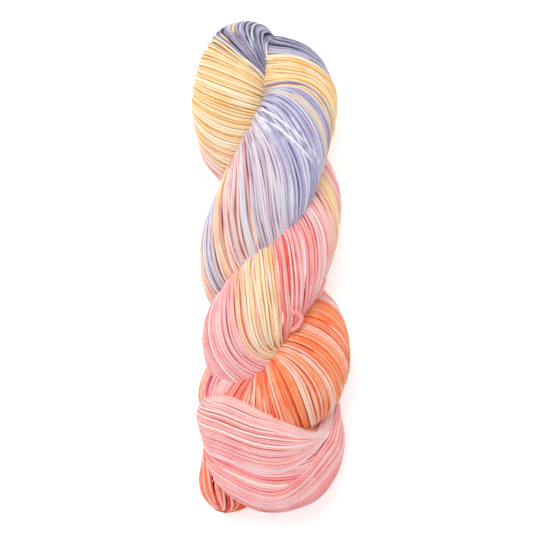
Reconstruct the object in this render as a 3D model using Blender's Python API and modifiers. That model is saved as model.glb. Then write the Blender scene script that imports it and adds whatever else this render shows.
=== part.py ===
"""A twisted hank of yarn, lying on its back.

The hank is one long loop of wound yarn that was wrung into a bundle, folded in half and let twist
back on itself. Two runs of the bundle leave the fold at the top, pass over and under each other,
and end at the bottom: the first run opens into a flat band of strands, and the round tip of the
second run is pushed through that band. A short end of the tie that holds the loop together shows
in the crease below the middle.

Metres, +Z up. X is across the hank and Y runs along it, towards the fold. The hank lies on the
plane Z = 0, with the origin under the middle of its bounding box.
"""
from collections import namedtuple
from math import cos, radians, sin

import bmesh
import bpy
from mathutils import Matrix, Vector

MM = 0.001

# Driving dimensions
SQUASH = 0.72                  # height over width of a bundle that lies under its own weight
PRESSED_FLAT = 3.0 * MM        # how far the underside is flattened where it touches
MERGE_VOXEL = 2.2 * MM         # grid on which the runs are merged into one solid
SMOOTH_PASSES = 4              # eases the creases between the runs
KEPT_FACETS = 0.21             # share of the merged solid's triangles that stays
BAND_TUBES = 5                 # tubes side by side that fill the end band
STEPS = 6                      # route points from one station of a bundle to the next
TIE_STEPS = 3                  # the same on the tie
CAP_ANGLES = (30, 60, 80)      # degrees round a rounded end
BUNDLE_SIDES = 24
TIE_SIDES = 10
TIE_GAP = 0.4 * MM             # air between the tie and the yarn around it

# A row of the tables below is a station of a bundle's middle line, in mm: its place across and
# along the hank, its height before the squash, and the bundle's radius there.
Station = namedtuple("Station", "across along height radius")

FOLD = Station(-3.5, 113.5, -16, 15.5)

FIRST_RUN = [
    FOLD,
    Station(-12.5, 118.5, -5, 18),
    Station(-18.5, 110.5, 6, 19.5),
    Station(-21.5, 95.5, 9, 20.5),        # left half of the top
    Station(-20.5, 80.5, 5, 20.5),
    Station(-13, 66, -7, 22.5),
    Station(4.5, 59.5, -20, 22),          # passes behind
    Station(16, 43, -10, 22.5),
    Station(16.5, 23, 6, 22),
    Station(10.5, 3.5, 18, 22.5),
    Station(-2.5, -17.5, 22, 23),         # crosses in front
    Station(-13, -35, 18, 23),
    Station(-11.5, -48.5, 8, 22.5),
    Station(-4.5, -58.5, -8, 21),
    Station(6.5, -68, -22, 20),           # passes behind again
    Station(16.5, -76, -22, 17.5),        # opens into the end band
]

SECOND_RUN = [
    FOLD,
    Station(4.5, 109.5, -5, 18.5),
    Station(12, 102.5, 2, 21),
    Station(16, 89, 9, 21.5),             # right half of the top
    Station(10.5, 70.5, 19, 23),
    Station(2, 49.5, 23, 24.5),           # crosses in front
    Station(-6.5, 31, 19, 24.5),
    Station(-13.5, 11, 8, 24),
    Station(-12, -6.5, -8, 23.5),
    Station(2, -18.5, -19, 23),           # passes behind
    Station(16.5, -31, -8, 23.5),
    Station(21, -47.5, 9, 23.5),
    Station(16, -62.5, 15, 24),           # crosses in front again
    Station(1, -71.5, 11, 24),
    Station(-13, -67, 1, 24.5),
    Station(-15.5, -79, -8, 22),          # goes through the end band
    Station(-16.5, -97.5, -8, 19.5),
    Station(-21.5, -117, -10, 17),        # round tip
]

# The end band goes once round the second run. Each station of one edge faces the station of the
# other edge in the same row.
BAND_UPPER_EDGE = [
    Station(17.5, -75, -20, 13),
    Station(27, -78, -12, 11.5),
    Station(26.5, -94.5, 6, 11),          # right side
    Station(16.5, -97.5, 20, 12),
    Station(-3.5, -91, 28, 13),           # front
    Station(-22, -81.5, 20, 13),
    Station(-27, -80.5, 4, 12.5),         # left side
    Station(-20, -83.5, -14, 12),
    Station(-3.5, -83.5, -24, 12),        # behind
    Station(12, -78, -24, 12),
]

BAND_LOWER_EDGE = [
    Station(21, -75, -20, 13),
    Station(27.5, -83.5, -12, 12),
    Station(28.5, -100, 2, 12),           # right side
    Station(20, -116, 12, 12),
    Station(1, -121, 18, 12),             # front
    Station(-16.5, -112, 14, 12),
    Station(-22.5, -99, 2, 12),           # left side
    Station(-17.5, -101, -14, 12),
    Station(-3.5, -94.5, -26, 12),        # behind
    Station(12, -83.5, -26, 12),
]

# The first run's strands that lie inside the end band, beside the second run's tip.
BAND_FILLING = [
    Station(16, -78, -14, 17),
    Station(10, -95, -3, 18),
    Station(4, -108, 2, 14),
]

# The hook of the tie's end, which lies in the crease below the first run's crossing.
TIE_END = [
    Station(12.5, -23.5, 38, 1.4),
    Station(15.5, -24.5, 36.5, 1.4),
    Station(17.5, -27, 33.5, 1.4),
    Station(16.5, -30, 31, 1.4),
    Station(14.5, -32.5, 31, 1.4),
    Station(11.5, -34, 33, 1.4),
]


def smooth_route(stations, steps=STEPS):
    """The Catmull-Rom curve through the stations: vectors of place and radius, in metres."""
    rows = [Vector(station) * MM for station in stations]
    rows = [2 * rows[0] - rows[1]] + rows + [2 * rows[-1] - rows[-2]]
    route = []
    for before, start, end, after in zip(rows, rows[1:], rows[2:], rows[3:]):
        for step in range(steps):
            t = step / steps
            route.append(0.5 * (2 * start + (end - before) * t
                                + (2 * before - 5 * start + 4 * end - after) * t ** 2
                                + (3 * start - before - 3 * end + after) * t ** 3))
    return route + [rows[-2]]


def round_end(end, inner):
    """Points that close a tube with a hemisphere beyond its end."""
    outwards = (end - inner).xyz.normalized()
    points = []
    for angle in map(radians, CAP_ANGLES):
        place = end.xyz + outwards * end.w * sin(angle)
        points.append(Vector((*place, end.w * cos(angle))))
    return points


def rounded(route):
    return round_end(route[0], route[1])[::-1] + route + round_end(route[-1], route[-2])


def blend_stations(first, second, share):
    """Stations that lie a share of the way from the first table's to the second's."""
    return [Station(*(a + (b - a) * share for a, b in zip(*pair)))
            for pair in zip(first, second)]


def bundle_routes():
    """One route for the two runs, which are one bundle folded at the top, and the end band's."""
    tables = [FIRST_RUN[:0:-1] + SECOND_RUN, BAND_FILLING]
    for tube in range(BAND_TUBES):
        share = tube / (BAND_TUBES - 1)
        tables.append(blend_stations(BAND_UPPER_EDGE, BAND_LOWER_EDGE, share))
    return [smooth_route(table) for table in tables]


def lying_matrix(routes):
    """Squashes the round bundles, centres them over the origin and sets them on Z = 0."""
    points = [point for route in routes for point in route]
    low = [min(point[axis] - point.w for point in points) for axis in range(3)]
    high = [max(point[axis] + point.w for point in points) for axis in range(3)]
    middle = Vector(((low[0] + high[0]) / 2, (low[1] + high[1]) / 2, low[2]))
    return (Matrix.Translation((0, 0, -PRESSED_FLAT)) @ Matrix.Diagonal((1, 1, SQUASH, 1))
            @ Matrix.Translation(-middle))


def tube_curve(name, route, sides, collection):
    """A curve object along the route, as thick as its radii, with filled ends."""
    curve = bpy.data.curves.new(name, "CURVE")
    curve.dimensions = "3D"
    curve.bevel_depth = 1
    curve.bevel_resolution = (sides - 4) // 2
    curve.use_fill_caps = True
    spline = curve.splines.new("POLY")
    spline.points.add(len(route) - 1)
    for point, row in zip(spline.points, route):
        point.co = (*row.xyz, 1)
        point.radius = row.w
    tube = bpy.data.objects.new(name, curve)
    collection.objects.link(tube)
    return tube


def take_mesh(tube):
    """The tube's closed mesh, with its caps welded on. The tube itself is removed."""
    bpy.context.view_layer.update()
    evaluated = tube.evaluated_get(bpy.context.evaluated_depsgraph_get())
    mesh = bpy.data.meshes.new_from_object(evaluated)
    bpy.data.objects.remove(tube)
    surface = bmesh.new()
    surface.from_mesh(mesh)
    bmesh.ops.remove_doubles(surface, verts=surface.verts, dist=0.001 * MM)
    surface.to_mesh(mesh)
    surface.free()
    return mesh


def merged_mesh(name, routes, collection):
    """All the routes' tubes in one mesh, still overlapping each other."""
    surface = bmesh.new()
    for route in routes:
        mesh = take_mesh(tube_curve(name, rounded(route), BUNDLE_SIDES, collection))
        surface.from_mesh(mesh)
        bpy.data.meshes.remove(mesh)
    merged = bpy.data.meshes.new(name)
    surface.to_mesh(merged)
    surface.free()
    return merged


def yarn_material(name, colour):
    material = bpy.data.materials.new(name)
    material.use_nodes = True
    shader = material.node_tree.nodes["Principled BSDF"]
    shader.inputs["Base Color"].default_value = (*colour, 1)
    shader.inputs["Roughness"].default_value = 0.9
    shader.inputs["Metallic"].default_value = 0
    return material


def add_cut(target, cutter):
    """Takes the cutter's shape out of the target, and shows the cutter as a wire guide."""
    cut = target.modifiers.new(cutter.name, "BOOLEAN")
    cut.operation = "DIFFERENCE"
    cut.solver = "EXACT"
    cut.object = cutter
    cutter.hide_render = True
    cutter.display_type = "WIRE"


def make_hank(routes, lying, collection):
    """The wound yarn: both runs and the end band as one solid."""
    mesh = merged_mesh("yarn_hank", routes, collection)
    mesh.transform(lying)
    mesh.materials.append(yarn_material("dyed_yarn", (0.86, 0.46, 0.38)))
    hank = bpy.data.objects.new("yarn_hank", mesh)
    collection.objects.link(hank)

    merge = hank.modifiers.new("merge", "REMESH")
    merge.mode = "VOXEL"
    merge.voxel_size = MERGE_VOXEL
    merge.use_smooth_shade = True
    smooth = hank.modifiers.new("smooth", "SMOOTH")
    smooth.iterations = SMOOTH_PASSES
    thin = hank.modifiers.new("thin", "DECIMATE")
    thin.ratio = KEPT_FACETS
    return hank


def make_table_block(collection):
    """The block that presses the hank's underside flat at Z = 0."""
    length, depth = 0.4, 0.05
    bpy.ops.mesh.primitive_cube_add(size=1, location=(0, 0, -depth / 2))
    block = bpy.context.object
    block.name = "table_block"
    block.scale = (length, length, depth)
    block.users_collection[0].objects.unlink(block)
    collection.objects.link(block)
    return block


def make_tie_end(route, collection):
    """The short hooked end of the tie."""
    tie = tube_curve("tie_end", rounded(route), TIE_SIDES, collection)
    tie.data.materials.append(yarn_material("tie_yarn", (0.88, 0.38, 0.40)))
    return tie


def make_tie_pocket(route, collection):
    """The tie's place in the yarn, a little wider than the tie all round."""
    wider = [Vector((*point.xyz, point.w + TIE_GAP)) for point in route]
    mesh = take_mesh(tube_curve("tie_pocket", rounded(wider), TIE_SIDES, collection))
    pocket = bpy.data.objects.new("tie_pocket", mesh)
    collection.objects.link(pocket)
    return pocket


def new_collection(name):
    collection = bpy.data.collections.new(name)
    bpy.context.scene.collection.children.link(collection)
    return collection


def main():
    for obj in list(bpy.data.objects):
        bpy.data.objects.remove(obj)
    parts = new_collection("hank_of_yarn")
    cutters = new_collection("cutters")

    routes = bundle_routes()
    lying = lying_matrix(routes)
    tie_route = [Vector((*(lying @ point.xyz), point.w))
                 for point in smooth_route(TIE_END, TIE_STEPS)]

    hank = make_hank(routes, lying, parts)
    add_cut(hank, make_table_block(cutters))
    add_cut(hank, make_tie_pocket(tie_route, cutters))
    make_tie_end(tie_route, parts)


main()
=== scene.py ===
"""The looks of the twisted hank of yarn.

Every strand of the hank's surface is laid as its own thin tube. A strand winds round the middle
line of the bundle that it belongs to, at the bundle's lay angle, and it is left out where another
part of the hank covers it. Its dye is the one that its bundle has where the strand comes to the
front, so that the dyes change from strand to strand, as in hand-dyed yarn. The end band's strands
run round it in three groups, which draw together where they dive under each other.

Tables are in millimetres, in the hank's own round space: the hank is squashed in height, and moved
into the frame, only when its strands are built. X is across the hank, Y along it, Z up.
"""
from collections import namedtuple

import bpy
import numpy as np
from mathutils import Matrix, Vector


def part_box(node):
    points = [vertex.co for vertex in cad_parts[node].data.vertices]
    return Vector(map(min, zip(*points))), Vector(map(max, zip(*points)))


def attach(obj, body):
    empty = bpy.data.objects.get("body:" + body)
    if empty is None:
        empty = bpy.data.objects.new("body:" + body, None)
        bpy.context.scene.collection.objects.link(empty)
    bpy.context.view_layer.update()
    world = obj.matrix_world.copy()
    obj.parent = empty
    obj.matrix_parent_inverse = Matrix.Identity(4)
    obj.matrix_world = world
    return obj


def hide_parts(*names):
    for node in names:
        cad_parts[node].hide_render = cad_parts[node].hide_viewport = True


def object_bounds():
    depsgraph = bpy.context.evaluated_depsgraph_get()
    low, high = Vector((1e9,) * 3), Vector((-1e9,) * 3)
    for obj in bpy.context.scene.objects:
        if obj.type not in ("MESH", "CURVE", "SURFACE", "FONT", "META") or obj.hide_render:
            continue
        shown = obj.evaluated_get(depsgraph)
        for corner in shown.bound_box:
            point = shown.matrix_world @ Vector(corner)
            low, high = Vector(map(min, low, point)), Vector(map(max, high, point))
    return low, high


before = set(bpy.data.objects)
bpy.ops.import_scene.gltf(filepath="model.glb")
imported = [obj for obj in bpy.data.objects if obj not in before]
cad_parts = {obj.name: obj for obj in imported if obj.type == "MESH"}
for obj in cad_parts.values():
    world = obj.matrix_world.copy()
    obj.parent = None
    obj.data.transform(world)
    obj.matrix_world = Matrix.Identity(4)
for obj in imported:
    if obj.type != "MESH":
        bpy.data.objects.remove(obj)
cad_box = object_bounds()

MM = 0.001                     # in metres
MM_PER_CM = 10
SEED = 11

# The hank
SQUASH = 0.72                  # height over width of a bundle that lies under its own weight
ROUTE_STEP = 0.25              # mm between two points of a bundle's middle line
SPHERE_STEP = 1.5              # mm between the spheres that fill the hank's outer form
AT_ONCE = 4000                 # points measured against the spheres at one time
ROUND_END = 82                 # degrees that a bundle's round end goes on
ROUND_END_ROWS = 60
WINDING_RADIUS = 8             # mm: the least radius that strands wind round, near a thin end
BAND_TUBES = 5                 # tubes side by side that fill the end band
BAND_REACH = 2.6               # radians that the band's strands go round each of its edges

# The yarn
STRAND_RADIUS = 0.80           # mm
STRAND_PITCH = 1.5             # mm from one strand to the next at the surface
STRAND_SIDES = 6
STRAND_STEP = 2.4              # mm between two rings of a strand's tube
PLIES = 4
PLY_LEAD = 6.0                 # mm along a strand for one turn of its plies
MOST_STRANDS = 210             # strands that wind round a bundle, many of them sunk at any place
LEAST_ROOM = 0.6               # room for strands inside a bend, over that on a straight
MOST_ROOM = 2.0                # the same outside a bend
LAYERS = 1.9                   # strands in both layers over those in the first
SINKING = 3                    # numbers past the room over which a strand goes down a layer
UNDER_DEPTH = 1.2              # mm that the second layer lies below the first
UNDER_LAYER_SHADE = 0.6             # painted shade: how much deeper its dye is made where a strand lies in the second layer, added to a power of 1
SUNK_DEPTH = 4.0               # mm that a strand sinks below the second layer
COVERED = 4.0                  # mm inside the hank where nothing shows any more
BUNCHING = 0.8                 # mm that strands drift sideways together
RIDGES = 0.22                  # mm that they rise and fall together
STRAY_DIVE = 3.0               # mm that a single strand dives at its ends
STRAY_SLOPE = 2.5              # half its length over that of each dive
PIECE_TRIANGLES = 180_000      # the most that one piece holds

# Waves of one strand by itself: about how long they are in mm, and how high.
WANDER_WAVES = ((1.0, 0.6), (0.57, 0.3), (0.31, 0.18))     # shares of both, for each wave
DRIFT = (60, 0.9)              # sideways, in mm
RISE = (35, 0.26)              # up and down, in mm
BAND_DRIFT = (90, 0.004)       # sideways in the end band, as a share of the way across it
BAND_RISE = (40, 0.22)         # up and down in the end band, in mm

# How a strand's colour differs round it: a painted highlight on its outer side and painted shade in
# the grooves between strands
CREST_HIGHLIGHT = 0.08                   # painted highlight: how much paler it is on its outer side
CREST_HIGHLIGHT_POWER = 0.8              # the power of its dye there, under the painted highlight, weaker than 1
GROOVE_SHADE_POWER = 1.6                   # painted shade: the power of its dye between two strands, deeper than 1
GROOVE_SHADE_LIFT = 1.25            # how much brighter that painted shade is, as painted light that wool lets through

# The core below the strands: the yarn inside, in its dye deepened as painted shade
CORE_DEPTH = 2.2               # mm from the hank's outer form to the core
CORE_RADIUS = 0.5              # mm: the least radius of its tubes
CORE_VOXEL = 2.5               # mm
CORE_SHADE_POWER = 1.6              # painted shade: the power of its dye, deeper than the strands'
CORE_SHADE = 0.9               # painted shade: how bright it is after that

# The tie
TIE_PLIES = 3
TIE_LEAD = 7.0                 # mm for one turn of its plies
TIE_SIDES = 10
PLY_OUT = 0.5                  # from the tie's middle line to a ply's, over the tie's radius
PLY_RADIUS = 0.56              # of a ply, over the tie's
TIE_UP = (0.2, 0.1, 1)         # a direction that the tie never runs in
TIE_TAPER = 0.02               # the least share of a ply's section left at its ends

# Materials, light and camera
NOISE_REACH = (0.3, 0.7)       # where nearly all values of a noise lie
MOTTLE_SCALE = 90              # per metre: mottles about 11 mm long
MOTTLE_POWER = (1.18, 0.84)    # the dye's power from one end of that reach to the other
FIBRE_SCALE = 1400             # per metre: specks under a millimetre long
FIBRE_POWER = (1.2, 0.8)
FUZZ_SCALE = 1.6 * FIBRE_SCALE
RIDGE_HEIGHT = 0.5             # of the plies' ridges, over that of the fuzz
RIDGE_SHADING_POWER = 0.14             # painted highlight and shade of the plies: how much paler the dye is on their ridges and deeper between them, as a power
WORLD_STRENGTH = 0.82
KEY_WATTS = 19
KEY_SIZE = 1.5                 # m
KEY_PLACE = (-0.4, 0.7, 1.5)   # m: above, towards the fold and the left
FLOOR_SIZE = 6                 # m
FLOOR_GLOW = 0.25              # a light table, so that the shadow stays pale
CAMERA_HEIGHT = 3.0            # m
FRAME_MARGIN = 1.086           # the frame's side over the hank's length
CAMERA_ASIDE = -2.4            # mm from the middle of the hank
CAMERA_ALONG = -0.6            # mm

# A row is a station of a bundle's middle line, in mm, with the bundle's radius there and the lay:
# the angle in degrees between its strands and the middle line.
Station = namedtuple("Station", "across along height radius lay")

FOLD = Station(-3.5, 113.5, -16, 15.5, 8)

FIRST_RUN = [
    FOLD,
    Station(-12.5, 118.5, -5, 18, 18),
    Station(-18.5, 110.5, 6, 19.5, 76),
    Station(-21.5, 95.5, 9, 20.5, 80),
    Station(-20.5, 80.5, 5, 20.5, 72),
    Station(-13, 66, -7, 22.5, 60),
    Station(4.5, 59.5, -20, 22, 58),
    Station(16, 43, -10, 22.5, 50),
    Station(16.5, 23, 6, 22, 50),
    Station(10.5, 3.5, 18, 22.5, 45),
    Station(-2.5, -17.5, 22, 23, 50),
    Station(-13, -35, 18, 23, 60),
    Station(-11.5, -48.5, 8, 22.5, 50),
    Station(-4.5, -58.5, -8, 21, 60),
    Station(6.5, -68, -22, 20, 50),
    Station(16.5, -76, -22, 17.5, 40),
]

SECOND_RUN = [
    FOLD,
    Station(4.5, 109.5, -5, 18.5, 30),
    Station(12, 102.5, 2, 21, 62),
    Station(16, 89, 9, 21.5, 66),
    Station(10.5, 70.5, 19, 23, 62),
    Station(2, 49.5, 23, 24.5, 45),
    Station(-6.5, 31, 19, 24.5, 40),
    Station(-13.5, 11, 8, 24, 42),
    Station(-12, -6.5, -8, 23.5, 56),
    Station(2, -18.5, -19, 23, 64),
    Station(16.5, -31, -8, 23.5, 74),
    Station(21, -47.5, 9, 23.5, 77),
    Station(16, -62.5, 15, 24, 79),
    Station(1, -71.5, 11, 24, 82),
    Station(-13, -67, 1, 24.5, 80),
    Station(-15.5, -79, -8, 22, 50),
    Station(-16.5, -97.5, -8, 19.5, 48),
    Station(-21.5, -117, -10, 17, 25),
]

# A station without a lay: of the end band's edges, as its strands run along it, and of the tie.
Plain = namedtuple("Plain", "across along height radius")

BAND_UPPER_EDGE = [
    Plain(17.5, -75, -20, 13),
    Plain(27, -78, -12, 11.5),
    Plain(26.5, -94.5, 6, 11),
    Plain(16.5, -97.5, 20, 12),
    Plain(-3.5, -91, 28, 13),
    Plain(-22, -81.5, 20, 13),
    Plain(-27, -80.5, 4, 12.5),
    Plain(-20, -83.5, -14, 12),
    Plain(-3.5, -83.5, -24, 12),
    Plain(12, -78, -24, 12),
]

BAND_LOWER_EDGE = [
    Plain(21, -75, -20, 13),
    Plain(27.5, -83.5, -12, 12),
    Plain(28.5, -100, 2, 12),
    Plain(20, -116, 12, 12),
    Plain(1, -121, 18, 12),
    Plain(-16.5, -112, 14, 12),
    Plain(-22.5, -99, 2, 12),
    Plain(-17.5, -101, -14, 12),
    Plain(-3.5, -94.5, -26, 12),
    Plain(12, -83.5, -26, 12),
]

# The end of the first run's strands, which fills the inside of the band.
BAND_FILLING = [
    Station(16, -78, -14, 17, 40),
    Station(10, -95, -3, 18, 40),
    Station(4, -108, 2, 14, 40),
]

# The end band's strands, in groups. A group reaches from its first to its last share across the
# band, where 0 is the back of the band's upper edge and 1 the back of its lower edge. The shares
# are given on the band's left side, on its front and on its right side. A group with a lift lies
# on top of the others.
Group = namedtuple("Group", "left front right lift strands")

BAND_GROUPS = [
    Group((0.05, 0.58), (0.05, 0.54), (0.24, 0.33), 0.4, 31),       # upper: draws in at the right
    Group((0.46, 0.70), (0.48, 0.68), (0.40, 0.60), 0.0, 13),       # middle: short strands
    Group((0.60, 1.00), (0.63, 1.00), (0.34, 1.00), 0.9, 27),       # lower: sweeps round the bottom
]
BAND_UNDER = Group((0, 1), (0, 1), (0, 1), -UNDER_DEPTH, 70)        # a plain layer below them
BAND_LEFT, BAND_FRONT, BAND_RIGHT = 6, 4, 2.4      # where those sides are, in stations of the edges
BAND_RANKS = (0.35, 0.65)      # where a strand lies in its own width of the group, from 0 to 1

# Single strands that lie over the others. Each crosses its bundle's ridge, or a line that is so
# many degrees aside from it, at a place given in stations from the fold, as for the dyes below.
# The length and the lift over the other strands are in mm.
Stray = namedtuple("Stray", "place aside lay length lift dye")

STRAYS = [
    Stray(4.25, -8, 74, 30, 0.1, "white"),
    Stray(4.1, -8, 74, 28, 0.1, "white"),
    Stray(5.9, 0, 36, 28, 0.3, "apricot"),
    Stray(-9.2, 80, 40, 11, 2.0, "pink"),
]

# The hook of the tie's end, which lies in the crease below the first run's crossing.
TIE_END = [
    Plain(12.5, -23.5, 38, 1.4),
    Plain(15.5, -24.5, 36.5, 1.4),
    Plain(17.5, -27, 33.5, 1.4),
    Plain(16.5, -30, 31, 1.4),
    Plain(14.5, -32.5, 31, 1.4),
    Plain(11.5, -34, 33, 1.4),
]

# Dyes, as display colours from 0 to 1.
DYES = {
    "deep_slate": (0.51, 0.48, 0.62),
    "slate": (0.58, 0.54, 0.68),
    "lavender": (0.72, 0.69, 0.82),
    "silver": (0.85, 0.81, 0.86),
    "lilac": (0.82, 0.72, 0.78),
    "white": (0.96, 0.90, 0.90),
    "cream": (0.99, 0.88, 0.68),
    "apricot": (0.98, 0.82, 0.58),
    "yellow": (0.98, 0.83, 0.66),
    "peach": (0.95, 0.74, 0.64),
    "rose": (0.90, 0.68, 0.66),
    "blush": (0.98, 0.76, 0.74),
    "pink": (0.97, 0.66, 0.66),
    "coral": (0.96, 0.58, 0.55),
    "orange": (0.98, 0.52, 0.22),
    "deep_orange": (0.97, 0.41, 0.11),
}

# The dyes along the two runs. The place is the number of stations from the fold, below zero on
# the first run and above zero on the second.
FOLD_NUMBER = len(FIRST_RUN) - 1       # the fold's station, counted from the first run's end
RUN_DYES = [
    (-15, "pink"), (-12, "pink"), (-10.9, "pink"), (-10.5, "yellow"), (-9.7, "yellow"),
    (-9.4, "coral"), (-8.7, "pink"), (-8.0, "coral"), (-7.5, "pink"), (-7.2, "yellow"),
    (-6.6, "yellow"), (-6.2, "pink"), (-5.5, "blush"), (-5.0, "cream"), (-4.6, "yellow"),
    (-3.4, "apricot"), (-2.2, "apricot"), (-2.05, "deep_slate"), (0, "deep_slate"),
    (0.3, "slate"), (0.65, "slate"),
    (0.9, "apricot"), (2.85, "apricot"), (3.1, "slate"), (3.6, "lavender"), (4.4, "lavender"),
    (4.9, "silver"), (5.2, "lilac"), (5.5, "silver"), (5.8, "lilac"), (6.1, "silver"),
    (6.35, "rose"), (6.6, "lilac"), (6.85, "peach"), (7.1, "rose"), (7.4, "apricot"),
    (7.7, "peach"), (8.0, "slate"), (8.3, "lavender"), (8.6, "peach"), (9.4, "peach"),
    (9.8, "pink"), (10.1, "coral"), (10.3, "orange"), (12.5, "orange"), (12.8, "deep_orange"),
    (13.1, "deep_orange"), (13.7, "pink"), (15.1, "pink"), (15.4, "orange"),
    (15.8, "deep_orange"),
]
STRAND_DYE_SPREAD = 0.12       # how far a strand's own dye place strays, in stations
ODD_DYE_SPREAD = 0.5           # the same for the odd strands
ODD_STRANDS = 0.12             # share of the strands that are odd
KEPT_TURN = 0.3                # turns from the front that a strand keeps its crossing's dye
CHANGE_TURN = 0.2              # turns more until it has the dye of the place where it is
SHADE_MEAN = 0.01              # how pale a strand is, below zero where deep
SHADE_SPREAD = 0.10            # how much paler or deeper one strand is than the next
HUE_SPREAD = 0.025             # how far each of its three colour values strays, as a share
PALER = 2.4                    # share of the way to white for a shade of 1
PALEST = 0.5                   # the most of that way that a strand goes
DEEPER = 3.5                   # what a shade of -1 adds to a power of 1
BAND_DYE_SPREAD = 0.08         # how far a band strand's own dye place strays, in shares

# The dyes across the end band, by share.
BAND_DYES = [(0, "peach"), (0.2, "blush"), (0.4, "pink"), (0.7, "pink"), (1, "coral")]
ODD_BAND_DYES = ("cream", "peach", "white", "coral")


def to_linear(colours):
    """Scene-linear values of display colours."""
    colours = np.asarray(colours, float)
    return np.where(colours <= 0.04045, colours / 12.92, ((colours + 0.055) / 1.055) ** 2.4)


def dye_lookup(table, places):
    """The linear colours of a dye table at the given places."""
    stops = np.array([stop for stop, _ in table], float)
    colours = to_linear([DYES[name] for _, name in table])
    return np.stack([np.interp(places, stops, colours[:, c]) for c in range(3)], axis=-1)


def unit(vectors):
    return vectors / np.linalg.norm(vectors, axis=-1, keepdims=True)


def smooth_rows(rows, steps=40):
    """Catmull-Rom rows through the given ones, with each row's station number in a last column."""
    rows = np.array(rows, float)
    rows = np.vstack([2 * rows[0] - rows[1], rows, 2 * rows[-1] - rows[-2]])
    t = (np.arange(steps) / steps)[:, None]
    pieces = []
    for station in range(len(rows) - 3):
        before, start, end, after = rows[station:station + 4]
        curve = 0.5 * (2 * start + (end - before) * t
                       + (2 * before - 5 * start + 4 * end - after) * t ** 2
                       + (3 * start - before - 3 * end + after) * t ** 3)
        pieces.append(np.hstack([curve, station + t]))
    pieces.append(np.append(rows[-2], len(rows) - 3)[None])
    return np.vstack(pieces)


def evenly_spaced(rows, step):
    """The rows at equal distances along their curve, and those distances."""
    gaps = np.linalg.norm(np.diff(rows[:, :3], axis=0), axis=1)
    arc = np.concatenate([[0], np.cumsum(gaps)])
    even = np.linspace(0, arc[-1], int(arc[-1] / step) + 1)
    return np.stack([np.interp(even, arc, column) for column in rows.T], axis=1), even


def with_round_end(rows):
    """Station rows, close together, that go on as a hemisphere past the last one."""
    ahead = unit(rows[-1, :3] - rows[-2, :3])
    radius = rows[-1, 3]
    cap = []
    for angle in np.linspace(0, np.radians(ROUND_END), ROUND_END_ROWS)[1:]:
        row = rows[-1].copy()
        row[:3] += ahead * radius * np.sin(angle)
        row[3] = radius * np.cos(angle)
        cap.append(row)
    return np.vstack([rows, cap])


class Bundle:
    """A bundle's middle line with a frame that follows it without turning."""

    def __init__(self, stations):
        rows, self.arc = evenly_spaced(with_round_end(smooth_rows(stations)), ROUTE_STEP)
        self.places, self.radii = rows[:, :3], rows[:, 3]
        self.lay, self.station = np.radians(rows[:, 4]), rows[:, -1]
        self.tangents = unit(np.gradient(self.places, axis=0))
        side = np.cross(self.tangents[0], (0, 0, 1))
        sides = []
        for tangent in self.tangents:
            side = unit(side - tangent * (side @ tangent))
            sides.append(side)
        self.first_sides = np.array(sides)
        self.second_sides = np.cross(self.tangents, self.first_sides)
        self.front = np.unwrap(np.arctan2(self.second_sides[:, 2], self.first_sides[:, 2]))
        self.bend = np.gradient(self.tangents, self.arc, axis=0)
        self.twist = self.wound(self.lay)

    def wound(self, lay):
        """The angle that a strand of the given lay has gone round the bundle at each point."""
        turn = -np.tan(lay) / np.maximum(self.radii, WINDING_RADIUS)
        steps = (turn[1:] + turn[:-1]) / 2 * np.diff(self.arc)
        return np.concatenate([[0], np.cumsum(steps)])

    def outwards(self, angles):
        """Directions away from the middle line, at one angle for each of its points."""
        return (np.cos(angles)[:, None] * self.first_sides
                + np.sin(angles)[:, None] * self.second_sides)

    def room(self, outwards):
        """How many strands fit round the bundle. There is more room on the outer side of a bend,
        the more so where the strands run across the bundle."""
        fit = 2 * np.pi * self.radii * np.cos(self.lay) / STRAND_PITCH
        stretch = -self.radii * (outwards * self.bend).sum(axis=1) * np.sin(self.lay) ** 2
        return fit * np.clip(1 + stretch, LEAST_ROOM, MOST_ROOM)


# One strand: its places and outward directions in the round space and its linear colours, all by
# point.
Strand = namedtuple("Strand", "places outwards colours")


def wander(rng, along, length, size):
    """A smooth random line: waves of random phase, the longest about as long as given."""
    total = np.zeros_like(along)
    for length_share, size_share in WANDER_WAVES:
        wave = length * length_share * rng.uniform(0.8, 1.25)
        total += size_share * np.sin(along / wave * 2 * np.pi + rng.uniform(0, 2 * np.pi))
    return size * total


def smooth_step(values):
    """A smooth way from 0 to 1 as the values go from 0 to 1."""
    values = np.clip(values, 0, 1)
    return values * values * (3 - 2 * values)


def inside_by(points, spheres):
    """How deep each point lies inside the hank's outer form, in mm, below zero outside, and the
    number of the sphere that says so."""
    depths, numbers = [], []
    for start in range(0, len(points), AT_ONCE):
        some = points[start:start + AT_ONCE]
        gaps = np.linalg.norm(some[:, None] - spheres[None, :, :3], axis=2)
        inside = spheres[None, :, 3] - gaps
        depths.append(inside.max(axis=1))
        numbers.append(inside.argmax(axis=1))
    return np.concatenate(depths), np.concatenate(numbers)


def shown_stretches(shown, least=3):
    """First and last index of each run of points that show."""
    edges = np.flatnonzero(np.diff(np.concatenate([[0], shown.astype(int), [0]])))
    return [(first, last) for first, last in zip(edges[::2], edges[1::2]) if last - first >= least]


def shown_parts(places, outwards, colours, spheres):
    """The stretches of one strand that show, with points at equal distances."""
    rows, _ = evenly_spaced(np.hstack([places, outwards, colours]), STRAND_STEP)
    depths, _ = inside_by(rows[:, :3], spheres)
    parts = []
    for first, last in shown_stretches(depths < COVERED):
        part = rows[first:last]
        parts.append(Strand(part[:, :3], unit(part[:, 3:6]), part[:, 6:]))
    return parts


def shade(rng):
    """One strand's own shade: how pale it is, below zero where deep, and its tilt of hue."""
    return rng.normal(SHADE_MEAN, SHADE_SPREAD), rng.normal(0, HUE_SPREAD, 3)


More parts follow.
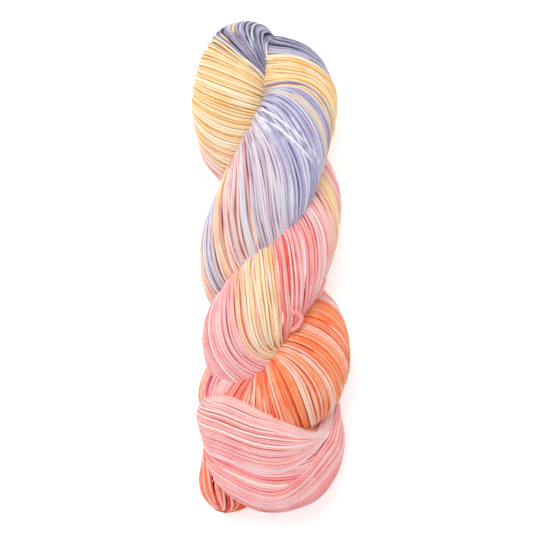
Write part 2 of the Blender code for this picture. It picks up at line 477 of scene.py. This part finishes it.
def tinted(colours, pale, tilt):
    """The colours in a strand's own shade."""
    paler = colours + (1 - colours) * np.clip(pale * PALER, 0, PALEST)
    return paler ** (1 + np.clip(-pale, 0, 1) * DEEPER) * (1 + tilt)


def grouping(start, along):
    """How strands that start side by side drift sideways and rise together, as shares: waves that
    go round the bundle 5 to 22 times, and along it in 17 to 34 mm for each radian."""
    bunch = np.sin(13 * start + along / 26) + 0.6 * np.sin(22 * start - along / 17 + 1)
    ridge = np.sin(5 * start + along / 21 + 2) + 0.7 * np.sin(11 * start - along / 34)
    return bunch, ridge


def wound_strands(bundle, spheres, rng):
    """The strands round a bundle, in order of golden-angle starts so that any first few of them
    are evenly spread. Those past the number that fits at the surface sink below it."""
    golden = np.pi * (3 - np.sqrt(5))
    strands = []
    for number in range(MOST_STRANDS):
        start = number * golden % (2 * np.pi)
        bunch, ridge = grouping(start, bundle.arc)
        drift = BUNCHING * bunch + wander(rng, bundle.arc, *DRIFT)
        angles = start + bundle.twist + drift / np.maximum(bundle.radii, WINDING_RADIUS)
        outwards = bundle.outwards(angles)
        fit = bundle.room(outwards)
        below = smooth_step((number - fit) / SINKING + 0.5)
        sunk = smooth_step((number - fit * LAYERS) / SINKING)
        depths = (STRAND_RADIUS + UNDER_DEPTH * below + SUNK_DEPTH * sunk + RIDGES * ridge
                  + wander(rng, bundle.arc, *RISE))
        places = bundle.places + outwards * (bundle.radii - depths)[:, None]
        # painted shade: strands of the second layer are coloured deeper
        under_shade_power = (1 + UNDER_LAYER_SHADE * below)[:, None]
        colours = run_colours(bundle, angles, rng) ** under_shade_power
        strands += shown_parts(places, outwards, colours, spheres)
    return strands


def run_colours(bundle, angles, rng):
    """A wound strand's colours. From one time that it is at the back to the next it keeps the dye
    of the place where it crosses the front, and now and then it has the dye of another place."""
    turns = -(angles - bundle.front) / (2 * np.pi)
    crossing = np.interp(np.round(turns), turns, bundle.station)
    away = smooth_step((np.abs(turns - np.round(turns)) - KEPT_TURN) / CHANGE_TURN)
    turn = np.round(turns - turns.min()).astype(int)
    count = turn.max() + 1
    stray = rng.normal(0, STRAND_DYE_SPREAD, count)
    odd = rng.random(count) < ODD_STRANDS
    stray[odd] = rng.normal(0, ODD_DYE_SPREAD, odd.sum())
    key = crossing + (bundle.station - crossing) * away + stray[turn] - FOLD_NUMBER
    colours = dye_lookup(RUN_DYES, key)
    shades = [shade(rng) for _ in range(count)]
    pale = np.array([pale for pale, _ in shades])[turn]
    tilt = np.array([tilt for _, tilt in shades])[turn]
    return tinted(colours, pale[:, None], tilt)


def stray_strand(bundle, stray):
    """One strand that lies over the others and dives between them at both ends."""
    middle = np.abs(bundle.station - FOLD_NUMBER - stray.place).argmin()
    along = (bundle.arc - bundle.arc[middle]) / (stray.length / 2)
    keep = np.abs(along) < 1
    wound = bundle.wound(np.full(len(bundle.arc), np.radians(stray.lay)))
    angles = bundle.front[middle] + np.radians(stray.aside) + wound - wound[middle]
    risen = smooth_step((1 - np.abs(along)) * STRAY_SLOPE)
    lift = (stray.lift + STRAY_DIVE) * risen - STRAY_DIVE
    outwards = bundle.outwards(angles)
    places = bundle.places + outwards * (bundle.radii - STRAND_RADIUS + lift)[:, None]
    colours = np.tile(to_linear(DYES[stray.dye]), (len(places), 1))
    rows, _ = evenly_spaced(np.hstack([places, outwards, colours])[keep], STRAND_STEP / 2)
    return Strand(rows[:, :3], unit(rows[:, 3:6]), rows[:, 6:])


def band_section(upper, lower, share):
    """Places and outward directions on the band at a share of the way across it, for each of its
    sections: round the upper edge, straight over to the lower edge, and round that."""
    upper_places, lower_places = upper[:, :3], lower[:, :3]
    across = lower_places - upper_places
    width = np.linalg.norm(across, axis=1)
    tangents = unit(np.gradient((upper_places + lower_places) / 2, axis=0))
    across = unit(across - tangents * (across * tangents).sum(axis=1, keepdims=True))
    out = np.cross(tangents, across)
    upper_arc, lower_arc = upper[:, 3] * BAND_REACH, lower[:, 3] * BAND_REACH
    at = share * (upper_arc + width + lower_arc)
    before = np.clip(upper_arc - at, 0, None) / upper[:, 3]
    after = np.clip(at - upper_arc - width, 0, None) / lower[:, 3]
    flat = np.clip((at - upper_arc) / width, 0, 1)[:, None]
    turn = after - before
    outwards = np.cos(turn)[:, None] * out + np.sin(turn)[:, None] * across
    middle = upper_places * (1 - flat) + lower_places * flat
    radius = upper[:, 3] * (1 - flat[:, 0]) + lower[:, 3] * flat[:, 0]
    return middle, outwards, radius


def group_shares(group, rank, station):
    """A strand's share across the band along its length, by its rank from 0 to 1 in its group."""
    sides = []
    for first, last in (group.right, group.front, group.left):
        sides.append(first + (last - first) * rank)
    right, front, left = sides
    to_front = smooth_step((station - BAND_RIGHT) / (BAND_FRONT - BAND_RIGHT))
    to_left = smooth_step((station - BAND_FRONT) / (BAND_LEFT - BAND_FRONT))
    return right + (front - right) * to_front + (left - front) * to_left


def band_dye(rng, share):
    """The colours of one strand of the end band, for its share across the band by point."""
    colours = dye_lookup(BAND_DYES, share + rng.normal(0, BAND_DYE_SPREAD))
    if rng.random() < ODD_STRANDS:
        odd = to_linear(DYES[ODD_BAND_DYES[rng.integers(len(ODD_BAND_DYES))]])
        colours = (colours + odd) / 2
    return tinted(colours, *shade(rng))


def band_strands(upper, lower, spheres, rng):
    """The strands that run round the end band, in their groups, over one plain under-layer."""
    along = np.arange(len(upper)) * ROUTE_STEP
    station = upper[:, -1]
    strands = []
    for group in [BAND_UNDER] + BAND_GROUPS:
        # painted shade: the band's under-layer is coloured deeper
        under_shade_power = 1 + UNDER_LAYER_SHADE * (group is BAND_UNDER)
        for number in range(group.strands):
            rank = (number + rng.uniform(*BAND_RANKS)) / group.strands
            shares = group_shares(group, rank, station) + wander(rng, along, *BAND_DRIFT)
            middle, outwards, radius = band_section(upper, lower, np.clip(shares, 0, 1))
            depths = STRAND_RADIUS - group.lift + wander(rng, along, *BAND_RISE)
            places = middle + outwards * (radius - depths)[:, None]
            colours = band_dye(rng, shares) ** under_shade_power
            strands += shown_parts(places, outwards, colours, spheres)
    return strands


class Lying:
    """The move from the hank's round space, in mm, to where it lies in the frame, in metres."""

    def __init__(self, spheres):
        centres, radii = spheres[:, :3], spheres[:, 3:]
        low, high = (centres - radii).min(axis=0), (centres + radii).max(axis=0)
        box_low, box_high = (np.array(corner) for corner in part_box("yarn_hank"))
        self.middle = (low + high) / 2
        self.target = (box_low + box_high) / 2
        self.top, self.target_top = high[2], box_high[2]

    def __call__(self, places):
        moved = (places - self.middle) * MM + self.target
        moved[:, 2] = self.target_top + (places[:, 2] - self.top) * SQUASH * MM
        return moved


def tube_points(places, outwards, radius, sides):
    """The rings of a tube, and how far out each point of a ring faces, from -1 to 1."""
    tangents = unit(np.gradient(places, axis=0))
    outwards = unit(outwards - tangents * (outwards * tangents).sum(axis=1, keepdims=True))
    across = np.cross(tangents, outwards)
    turns = np.arange(sides) / sides * 2 * np.pi
    ring = (np.cos(turns)[None, :, None] * outwards[:, None]
            + np.sin(turns)[None, :, None] * across[:, None])
    return places[:, None] + ring * radius, np.cos(turns)


def tube_faces(rows, sides):
    """Quads between the rings of a tube, and the same corners as ring and side numbers."""
    row, side = np.meshgrid(np.arange(rows - 1), np.arange(sides), indexing="ij")
    corners = [(row, side), (row, side + 1), (row + 1, side + 1), (row + 1, side)]
    quads = np.stack([r * sides + c % sides for r, c in corners], axis=-1)
    return quads.reshape(-1, 4), np.stack([np.stack(corner, axis=-1) for corner in corners], 2)


def mesh_from_numbers(name, points, faces):
    mesh = bpy.data.meshes.new(name)
    mesh.vertices.add(len(points))
    mesh.vertices.foreach_set("co", points.astype(np.float32).ravel())
    mesh.loops.add(faces.size)
    mesh.loops.foreach_set("vertex_index", faces.astype(np.int32).ravel())
    mesh.polygons.add(len(faces))
    mesh.polygons.foreach_set("loop_start", np.arange(len(faces), dtype=np.int32) * 4)
    mesh.update(calc_edges=True)
    return mesh


def set_dye_and_painted_shade(mesh, colours):
    # the 'dye' attribute holds the dye with the painted highlight and painted shade already in it
    attribute = mesh.color_attributes.new("dye", "FLOAT_COLOR", "POINT")
    rgba = np.hstack([np.clip(colours, 0, 1), np.ones((len(colours), 1))])
    attribute.data.foreach_set("color", rgba.astype(np.float32).ravel())


def paint_highlight_and_shade(colours, facing):
    """Each ring's colours, painted by the way each point faces: a painted highlight, paler, on the
    strand's outer side, and painted shade, deeper, down in the grooves.
    """
    colours = np.clip(colours, 0, 1)
    pale = colours ** CREST_HIGHLIGHT_POWER
    pale = pale + (1 - pale) * CREST_HIGHLIGHT
    deep = np.clip(colours ** GROOVE_SHADE_POWER * GROOVE_SHADE_LIFT, 0, 1)
    share = smooth_step(facing)[None, :, None]
    return deep[:, None] * (1 - share) + pale[:, None] * share


def strands_mesh(name, strands, lying):
    """One mesh of all the strands' tubes, with a colour for each point, its dye with a painted
    highlight and painted shade, and a strand map: cm along the strand, and the share of the way
    round it."""
    points, faces, maps, colours = [], [], [], []
    base = 0
    radius = STRAND_RADIUS * MM
    for strand in strands:
        places = lying(strand.places)
        places[:, 2] = np.maximum(places[:, 2], radius)
        outwards = unit(strand.outwards * (1, 1, 1 / SQUASH))
        tube, facing = tube_points(places, outwards, radius, STRAND_SIDES)
        quads, corners = tube_faces(len(places), STRAND_SIDES)
        gaps = np.linalg.norm(np.diff(places, axis=0), axis=1)
        arc = np.concatenate([[0], np.cumsum(gaps)]) / MM / MM_PER_CM
        corners = corners.reshape(-1, 2)
        maps.append(np.stack([arc[corners[:, 0]], corners[:, 1] / STRAND_SIDES], axis=-1))
        faces.append(quads + base)
        points.append(tube.reshape(-1, 3))
        # each point's colour gets a painted highlight on the strand's outer side and painted shade
        # in its grooves
        colours.append(paint_highlight_and_shade(strand.colours, facing).reshape(-1, 3))
        base += len(points[-1])
    mesh = mesh_from_numbers(name, np.vstack(points), np.vstack(faces))
    layer = mesh.uv_layers.new(name="strand")
    layer.data.foreach_set("uv", np.vstack(maps).astype(np.float32).ravel())
    set_dye_and_painted_shade(mesh, np.vstack(colours))
    mesh.shade_smooth()
    return mesh


def in_pieces(strands):
    """The strands from one end of the hank to the other, in runs of few enough triangles."""
    ordered = sorted(strands, key=lambda strand: -strand.places[:, 1].mean())
    triangles = np.cumsum([(len(strand.places) - 1) * STRAND_SIDES * 2 for strand in ordered])
    count = int(triangles[-1] // PIECE_TRIANGLES) + 1
    piece = np.minimum(triangles * count // (triangles[-1] + 1), count - 1)
    return [[strand for strand, number in zip(ordered, piece) if number == wanted]
            for wanted in range(count)]


def add_object(name, mesh, material, node=None):
    """A piece of the hank that rides on its body and, where named, replaces a CAD node."""
    piece = bpy.data.objects.new(name, mesh)
    bpy.context.scene.collection.objects.link(piece)
    piece.data.materials.append(material)
    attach(piece, "root")
    if node:
        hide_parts(node)
    return piece


def core_mesh(routes, spheres, dyes, lying):
    """The inside that shows between strands, in its dye under painted shade, deeper and darker: the
    hank's form, a little thinner.
    """
    curve = bpy.data.curves.new("core_routes", "CURVE")
    curve.dimensions = "3D"
    curve.bevel_depth = 1
    curve.use_fill_caps = True
    for route in routes:
        rows, _ = evenly_spaced(route, CORE_VOXEL)
        spline = curve.splines.new("POLY")
        spline.points.add(len(rows) - 1)
        for point, row in zip(spline.points, rows):
            point.co = (*row[:3], 1)
            point.radius = max(row[3] - CORE_DEPTH, CORE_RADIUS)
    tubes = bpy.data.objects.new("core_routes", curve)
    bpy.context.scene.collection.objects.link(tubes)
    graph = bpy.context.evaluated_depsgraph_get()
    merged = bpy.data.objects.new("core_tubes", bpy.data.meshes.new_from_object(
        tubes.evaluated_get(graph)))
    bpy.context.scene.collection.objects.link(merged)
    remesh = merged.modifiers.new("merge", "REMESH")
    remesh.mode = "VOXEL"
    remesh.voxel_size = CORE_VOXEL
    graph = bpy.context.evaluated_depsgraph_get()
    mesh = bpy.data.meshes.new_from_object(merged.evaluated_get(graph))
    mesh.name = "yarn_core"
    for helper in (tubes, merged):
        bpy.data.objects.remove(helper)

    places = np.empty(len(mesh.vertices) * 3)
    mesh.vertices.foreach_get("co", places)
    places = places.reshape(-1, 3)
    _, nearest = inside_by(places, spheres)
    places = lying(places)
    places[:, 2] = np.maximum(places[:, 2], 2 * STRAND_RADIUS * MM)
    mesh.vertices.foreach_set("co", places.astype(np.float32).ravel())
    # painted shade: the core's dye is made deeper and darker than the strands'
    set_dye_and_painted_shade(mesh, dyes[nearest] ** CORE_SHADE_POWER * CORE_SHADE)
    mesh.shade_smooth()
    return mesh


def tie_mesh(lying):
    """The tie's end: plies that twist round each other, finished round at both ends."""
    rows, arc = evenly_spaced(smooth_rows(TIE_END), ROUTE_STEP)
    places, radius = rows[:, :3], rows[:, 3:4]
    tangents = unit(np.gradient(places, axis=0))
    side = unit(np.cross(tangents, TIE_UP))
    other = np.cross(tangents, side)
    from_end = np.minimum(arc, arc[-1] - arc)[:, None]
    taper = np.sqrt(np.clip(from_end / radius, TIE_TAPER, 1))
    points, faces, colours, base = [], [], [], 0
    for ply in range(TIE_PLIES):
        turn = (arc / TIE_LEAD + ply / TIE_PLIES)[:, None] * 2 * np.pi
        outwards = np.cos(turn) * side + np.sin(turn) * other
        ply_places = lying(places + outwards * radius * PLY_OUT * taper)
        ply_radius = (radius * PLY_RADIUS * taper * MM)[:, :, None]
        tube, facing = tube_points(ply_places, outwards, ply_radius, TIE_SIDES)
        quads, _ = tube_faces(len(places), TIE_SIDES)
        dye = np.tile(to_linear(DYES["coral"]), (len(places), 1))
        # the tie's plies get the same painted highlight and painted shade round each ply
        colours.append(paint_highlight_and_shade(dye, facing).reshape(-1, 3))
        points.append(tube.reshape(-1, 3))
        faces.append(quads + base)
        base += len(points[-1])
    mesh = mesh_from_numbers("tie_cord", np.vstack(points), np.vstack(faces))
    set_dye_and_painted_shade(mesh, np.vstack(colours))
    mesh.shade_smooth()
    return mesh


def new_node(material, kind, **values):
    node = material.node_tree.nodes.new(kind)
    for key, value in values.items():
        setattr(node, key, value)
    return node


def noise(material, coordinates, scale, detail):
    node = new_node(material, "ShaderNodeTexNoise")
    node.inputs["Scale"].default_value = scale
    node.inputs["Detail"].default_value = detail
    material.node_tree.links.new(coordinates, node.inputs["Vector"])
    return node.outputs["Fac"]


def ranged(material, value, reach):
    """A noise value stretched to the given reach."""
    node = new_node(material, "ShaderNodeMapRange")
    node.inputs["From Min"].default_value = NOISE_REACH[0]
    node.inputs["From Max"].default_value = NOISE_REACH[1]
    node.inputs["To Min"].default_value = reach[0]
    node.inputs["To Max"].default_value = reach[1]
    material.node_tree.links.new(value, node.inputs["Value"])
    return node.outputs["Result"]


def calculate(material, operation, *values):
    node = new_node(material, "ShaderNodeMath", operation=operation)
    for socket, value in zip(node.inputs, values):
        if isinstance(value, (int, float)):
            socket.default_value = value
        else:
            material.node_tree.links.new(value, socket)
    return node.outputs[0]


def yarn_material(name, plies):
    """Dyed wool: each strand's own dye, mottled where it took more or less of it, with fine fibres.
    Strands with a strand map also have the ridges of their twisted plies, with a painted highlight
    on them and painted shade between them."""
    material = bpy.data.materials.new(name)
    material.use_nodes = True
    links = material.node_tree.links
    shader = material.node_tree.nodes["Principled BSDF"]
    shader.inputs["Roughness"].default_value = 0.78
    shader.inputs["Specular IOR Level"].default_value = 0.2
    shader.inputs["Sheen Weight"].default_value = 0.12
    shader.inputs["Sheen Roughness"].default_value = 0.5
    shader.inputs["Subsurface Weight"].default_value = 0.2
    shader.inputs["Subsurface Radius"].default_value = (1.0, 0.6, 0.5)
    shader.inputs["Subsurface Scale"].default_value = 1.2 * MM

    space = new_node(material, "ShaderNodeTexCoord").outputs["Object"]
    # the 'dye' attribute holds each point's dye with its painted highlight and painted shade
    dye = new_node(material, "ShaderNodeAttribute", attribute_name="dye").outputs["Color"]
    mottles = ranged(material, noise(material, space, MOTTLE_SCALE, 2), MOTTLE_POWER)
    fibres = ranged(material, noise(material, space, FIBRE_SCALE, 3), FIBRE_POWER)
    power = calculate(material, "MULTIPLY", mottles, fibres)
    height = noise(material, space, FUZZ_SCALE, 4)
    if plies:
        strand_map = new_node(material, "ShaderNodeUVMap", uv_map="strand").outputs["UV"]
        split = new_node(material, "ShaderNodeSeparateXYZ")
        links.new(strand_map, split.inputs["Vector"])
        along = calculate(material, "MULTIPLY", split.outputs["X"], MM_PER_CM / PLY_LEAD)
        turn = calculate(material, "ADD", split.outputs["Y"], along)
        angle = calculate(material, "MULTIPLY", turn, plies * 2 * np.pi)
        wave = calculate(material, "SINE", angle)
        ridges = calculate(material, "MULTIPLY", wave, RIDGE_HEIGHT)
        height = calculate(material, "ADD", ridges, height)
        # painted highlight on the plies' ridges and painted shade between them
        ridge_shading = calculate(material, "MULTIPLY", wave, RIDGE_SHADING_POWER)
        power = calculate(material, "SUBTRACT", power, ridge_shading)
    gamma = new_node(material, "ShaderNodeGamma")
    links.new(dye, gamma.inputs["Color"])
    links.new(power, gamma.inputs["Gamma"])
    links.new(gamma.outputs["Color"], shader.inputs["Base Color"])
    bump = new_node(material, "ShaderNodeBump")
    bump.inputs["Strength"].default_value = 0.8
    bump.inputs["Distance"].default_value = 0.35 * MM
    links.new(height, bump.inputs["Height"])
    links.new(bump.outputs["Normal"], shader.inputs["Normal"])
    return material


def add_floor():
    bpy.ops.mesh.primitive_plane_add(size=FLOOR_SIZE, location=(0, 0, 0))
    floor = bpy.context.object
    floor.name = "floor"
    material = bpy.data.materials.new("floor")
    material.use_nodes = True
    shader = material.node_tree.nodes["Principled BSDF"]
    shader.inputs["Base Color"].default_value = (0.96, 0.96, 0.96, 1)
    shader.inputs["Roughness"].default_value = 0.9
    shader.inputs["Specular IOR Level"].default_value = 0.1
    shader.inputs["Emission Color"].default_value = (1, 1, 1, 1)
    shader.inputs["Emission Strength"].default_value = FLOOR_GLOW
    floor.data.materials.append(material)


def add_light():
    scene = bpy.context.scene
    scene.view_settings.view_transform = "Standard"
    world = bpy.data.worlds.new("studio")
    scene.world = world
    world.use_nodes = True
    background = world.node_tree.nodes["Background"]
    background.inputs["Color"].default_value = (1, 1, 1, 1)
    background.inputs["Strength"].default_value = WORLD_STRENGTH

    key = bpy.data.lights.new("key", "AREA")
    key.shape = "DISK"
    key.size = KEY_SIZE
    key.energy = KEY_WATTS
    lamp = bpy.data.objects.new("key", key)
    lamp.location = KEY_PLACE
    lamp.rotation_mode = "QUATERNION"
    lamp.rotation_quaternion = (-lamp.location).to_track_quat("-Z", "Y")
    scene.collection.objects.link(lamp)


def add_camera():
    """A camera straight above, with the hank's length and a narrow margin in its square frame."""
    low, high = (np.array(corner) for corner in cad_box)
    length = high[1] - low[1]
    camera = bpy.data.cameras.new("camera")
    camera.sensor_width = 36
    camera.lens = camera.sensor_width * (CAMERA_HEIGHT - high[2] / 2) / (length * FRAME_MARGIN)
    eye = bpy.data.objects.new("camera", camera)
    eye.location = (CAMERA_ASIDE * MM, CAMERA_ALONG * MM, CAMERA_HEIGHT)
    bpy.context.scene.collection.objects.link(eye)
    bpy.context.scene.camera = eye


def band_edges():
    """Rows of the band's upper and lower edge, in pairs that are about a route step apart."""
    upper, lower = smooth_rows(BAND_UPPER_EDGE), smooth_rows(BAND_LOWER_EDGE)
    middle_length = np.linalg.norm(np.diff((upper + lower)[:, :3] / 2, axis=0), axis=1).sum()
    keep = np.linspace(0, len(upper) - 1, int(middle_length / ROUTE_STEP)).round().astype(int)
    return upper[keep], lower[keep]


def hank_routes(bundle, upper, lower):
    """The middle lines of the hank's tubes, with their radii, and the colours along them."""
    # The round end is left out, as it lies inside the sphere at the last station.
    before_end = bundle.station < FOLD_NUMBER + len(SECOND_RUN) - 1
    run_route = np.column_stack([bundle.places, bundle.radii])
    run_dyes = dye_lookup(RUN_DYES, bundle.station - FOLD_NUMBER)
    filling_route = smooth_rows(BAND_FILLING)[:, :4]
    routes = [run_route[before_end], filling_route]
    dyes = [run_dyes[before_end], dye_lookup(BAND_DYES, np.full(len(filling_route), 0.5))]
    for share in np.linspace(0, 1, BAND_TUBES):
        routes.append(upper[:, :4] * (1 - share) + lower[:, :4] * share)
        dyes.append(dye_lookup(BAND_DYES, np.full(len(upper), share)))
    return routes, dyes


def main():
    rng = np.random.default_rng(SEED)
    bundle = Bundle(FIRST_RUN[:0:-1] + SECOND_RUN)
    upper, lower = band_edges()
    routes, route_dyes = hank_routes(bundle, upper, lower)
    every = int(SPHERE_STEP / ROUTE_STEP)
    spheres = np.vstack([route[::every] for route in routes])
    dyes = np.vstack([colours[::every] for colours in route_dyes])
    lying = Lying(spheres)

    strands = wound_strands(bundle, spheres, rng)
    strands += [stray_strand(bundle, stray) for stray in STRAYS]
    strands += band_strands(upper, lower, spheres, rng)
    strands += wound_strands(Bundle(BAND_FILLING), spheres, rng)
    yarn = yarn_material("dyed_yarn_strands", PLIES)
    for number, some in enumerate(in_pieces(strands), 1):
        add_object(f"yarn_strands_{number}", strands_mesh(f"yarn_strands_{number}", some, lying),
                   yarn)
    plain = yarn_material("dyed_yarn_plain", 0)
    add_object("yarn_core", core_mesh(routes, spheres, dyes, lying), plain, node="yarn_hank")
    add_object("tie_cord", tie_mesh(lying), plain, node="tie_end")
    add_floor()
    add_light()
    add_camera()


main()
